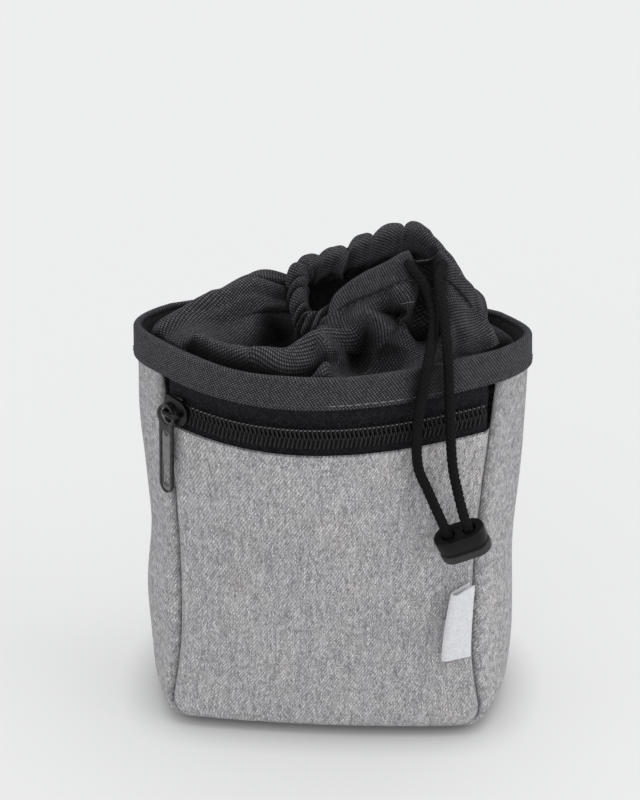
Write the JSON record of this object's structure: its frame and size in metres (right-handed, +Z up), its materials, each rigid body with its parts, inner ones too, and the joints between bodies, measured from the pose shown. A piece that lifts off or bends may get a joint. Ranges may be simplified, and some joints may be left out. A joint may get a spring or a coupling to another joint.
{
  "type": "drawstring snack bag",
  "caption": "Small upright cloth pouch with a zipped front, a bound mouth and a gathered collar that a cord with an oval end draws shut.",
  "frame": {"origin": "middle of the flat base, on the surface that the bag stands on", "axes": "+X to the bag's right as seen from the front, +Y to its back, +Z up"},
  "size_m": [0.1308, 0.0821, 0.1667],
  "materials": {
    "grey_cloth": "mottled light grey woven polyester, matt",
    "charcoal_cloth": "charcoal basket-weave polyester, matt",
    "zip_tape": "black woven zip tape, matt",
    "zip_coil": "black nylon coil, satin",
    "gunmetal": "dark gunmetal plating, semi-gloss",
    "drawcord": "black braided round cord",
    "black_plastic": "black moulded plastic, semi-gloss",
    "label_ribbon": "plain white woven ribbon"
  },
  "bodies": {
    "bag": {"front_panel": "grey_cloth", "back_panel": "grey_cloth", "gusset": "grey_cloth", "mouth_binding": "charcoal_cloth", "drawstring_collar": "charcoal_cloth", "zip_tape_upper": "zip_tape", "zip_tape_lower": "zip_tape", "zip_coil": "zip_coil", "zip_slider": "gunmetal", "drawcord_in_hem": "drawcord", "drawcord_left": "drawcord", "drawcord_right": "drawcord", "cord_end_shell": "black_plastic", "cord_end_lid": "black_plastic", "side_label": "label_ribbon"},
    "pull": {"zip_pull": "gunmetal"}
  },
  "joints": [
    {"name": "pull_swing", "type": "hinge", "parent": "bag", "child": "pull", "pos_m": [-0.05174, -0.02415, 0.11307], "axis": [0.6813, 0.7315, -0.0249], "range_deg": [-30, 30]}
  ]
}
